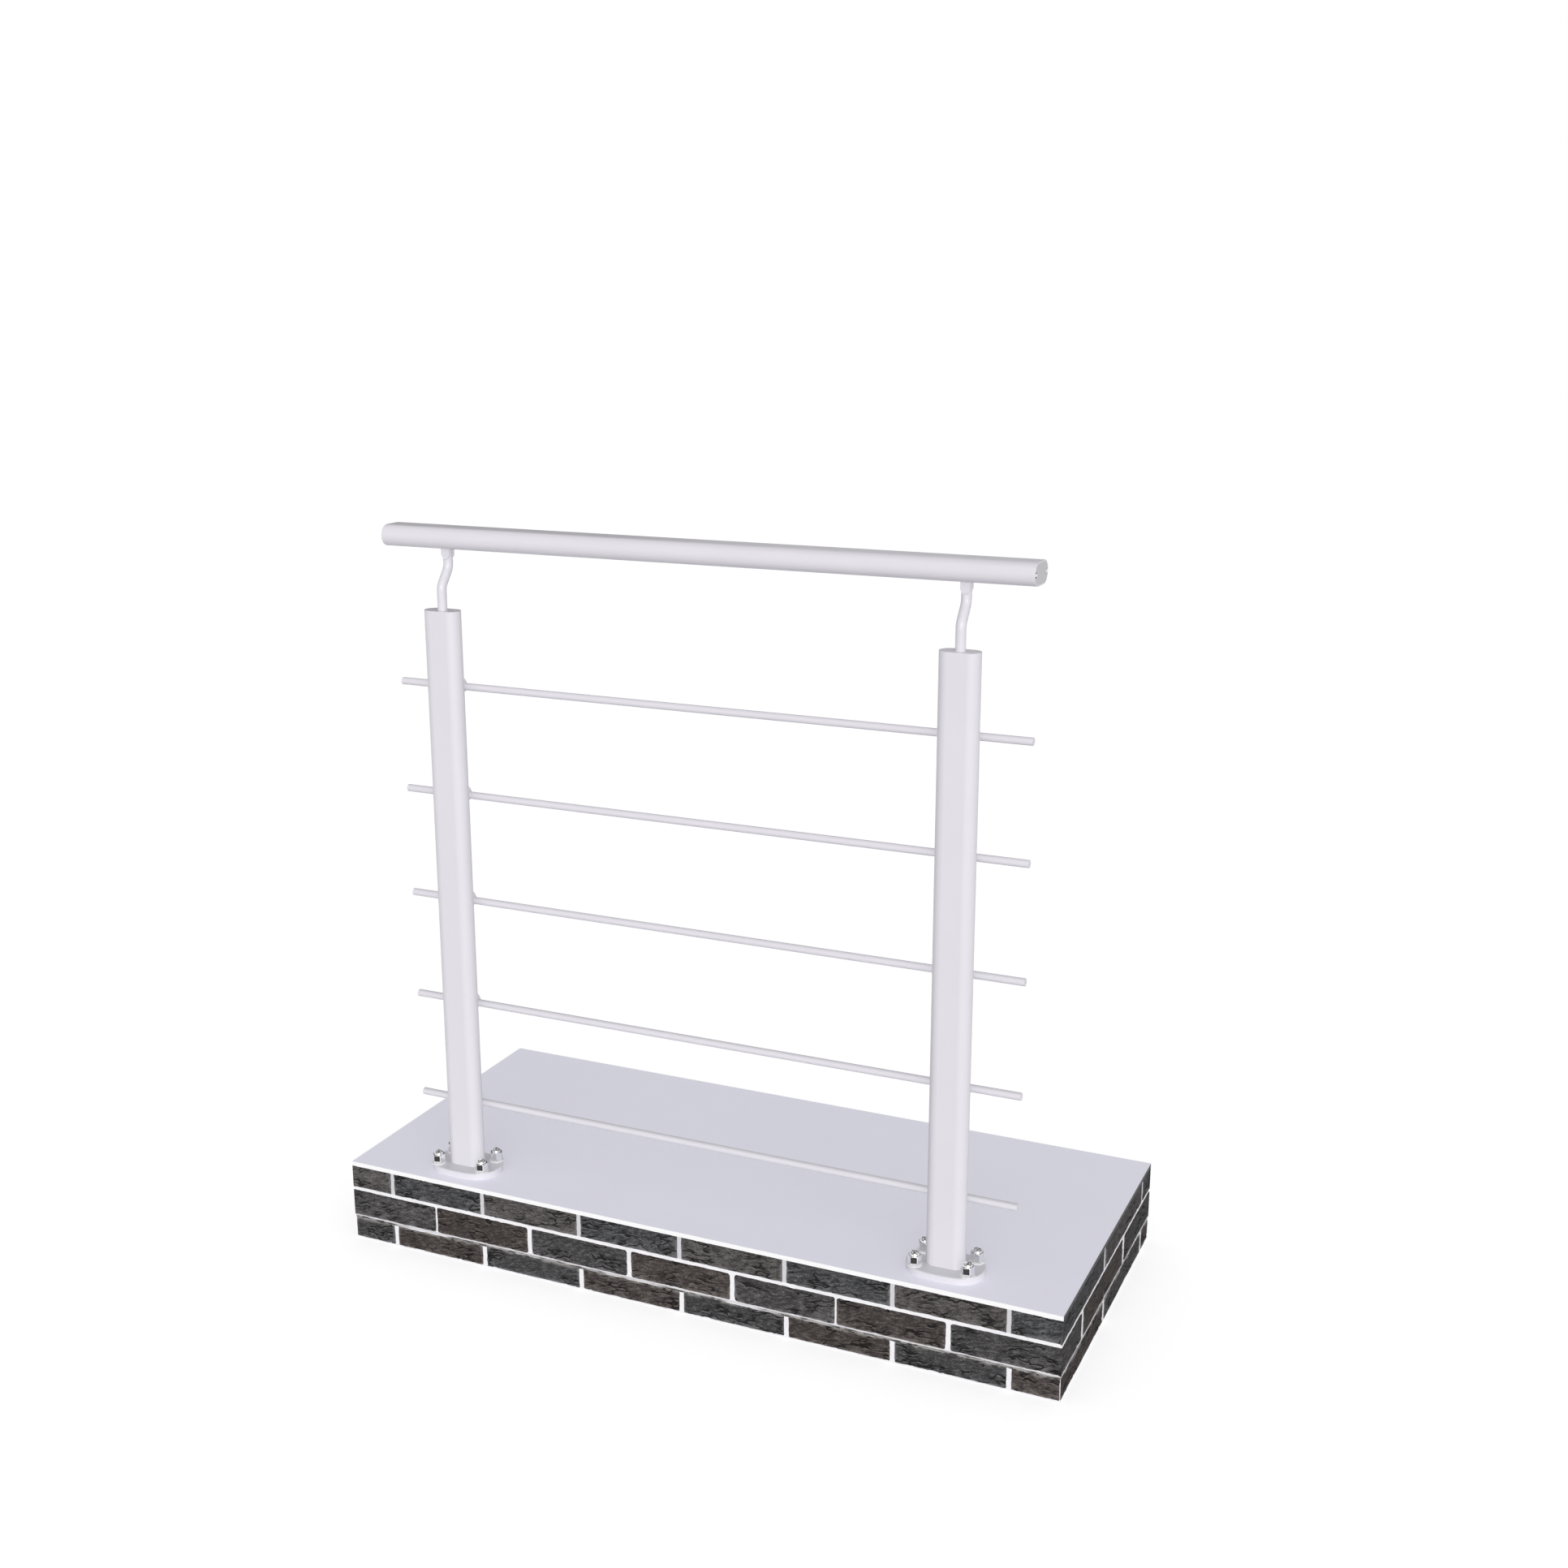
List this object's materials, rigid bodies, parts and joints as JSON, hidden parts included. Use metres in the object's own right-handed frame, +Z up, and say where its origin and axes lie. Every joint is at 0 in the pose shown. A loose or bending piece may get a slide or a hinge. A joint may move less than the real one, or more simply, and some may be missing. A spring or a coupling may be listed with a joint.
{
  "type": "deck railing section on a brick-clad plinth",
  "caption": "Straight deck railing section with flat oval posts, cranked stems, an oval handrail and round horizontal rods, bolted down on a brick-clad plinth.",
  "frame": {"origin": "middle of the plinth's underside", "axes": "+X along the handrail to the right as seen in the picture, +Y from the railing over the deck, +Z up"},
  "size_m": [1.15, 0.5, 1.1258],
  "materials": {
    "white_metal": "white powder coat, satin",
    "end_cap_metal": "white powder coat, satin",
    "polished_steel": "polished stainless steel",
    "concrete": "plain cast concrete",
    "screed": "smooth pale grey coat",
    "brickwork": "hand-moulded charcoal brick slips in pale mortar"
  },
  "bodies": {
    "root": {"plinth_core": "concrete", "deck_coat": "screed", "plinth_facing_front": "brickwork", "plinth_facing_right": "brickwork", "plinth_facing_back": "brickwork", "plinth_facing_left": "brickwork", "handrail_tube": "white_metal", "base_flange_left": "white_metal", "post_left": "white_metal", "post_cap_left": "white_metal", "stem_left": "white_metal", "handrail_fork_left": "white_metal", "handrail_end_cap_left": "end_cap_metal", "base_flange_right": "white_metal", "post_right": "white_metal", "post_cap_right": "white_metal", "stem_right": "white_metal", "handrail_fork_right": "white_metal", "handrail_end_cap_right": "end_cap_metal", "infill_rod_1": "white_metal", "rod_holder_left_1": "white_metal", "rod_holder_right_1": "white_metal", "infill_rod_2": "white_metal", "rod_holder_left_2": "white_metal", "rod_holder_right_2": "white_metal", "infill_rod_3": "white_metal", "rod_holder_left_3": "white_metal", "rod_holder_right_3": "white_metal", "infill_rod_4": "white_metal", "rod_holder_left_4": "white_metal", "rod_holder_right_4": "white_metal", "infill_rod_5": "white_metal", "rod_holder_left_5": "white_metal", "rod_holder_right_5": "white_metal"}
  },
  "joints": []
}
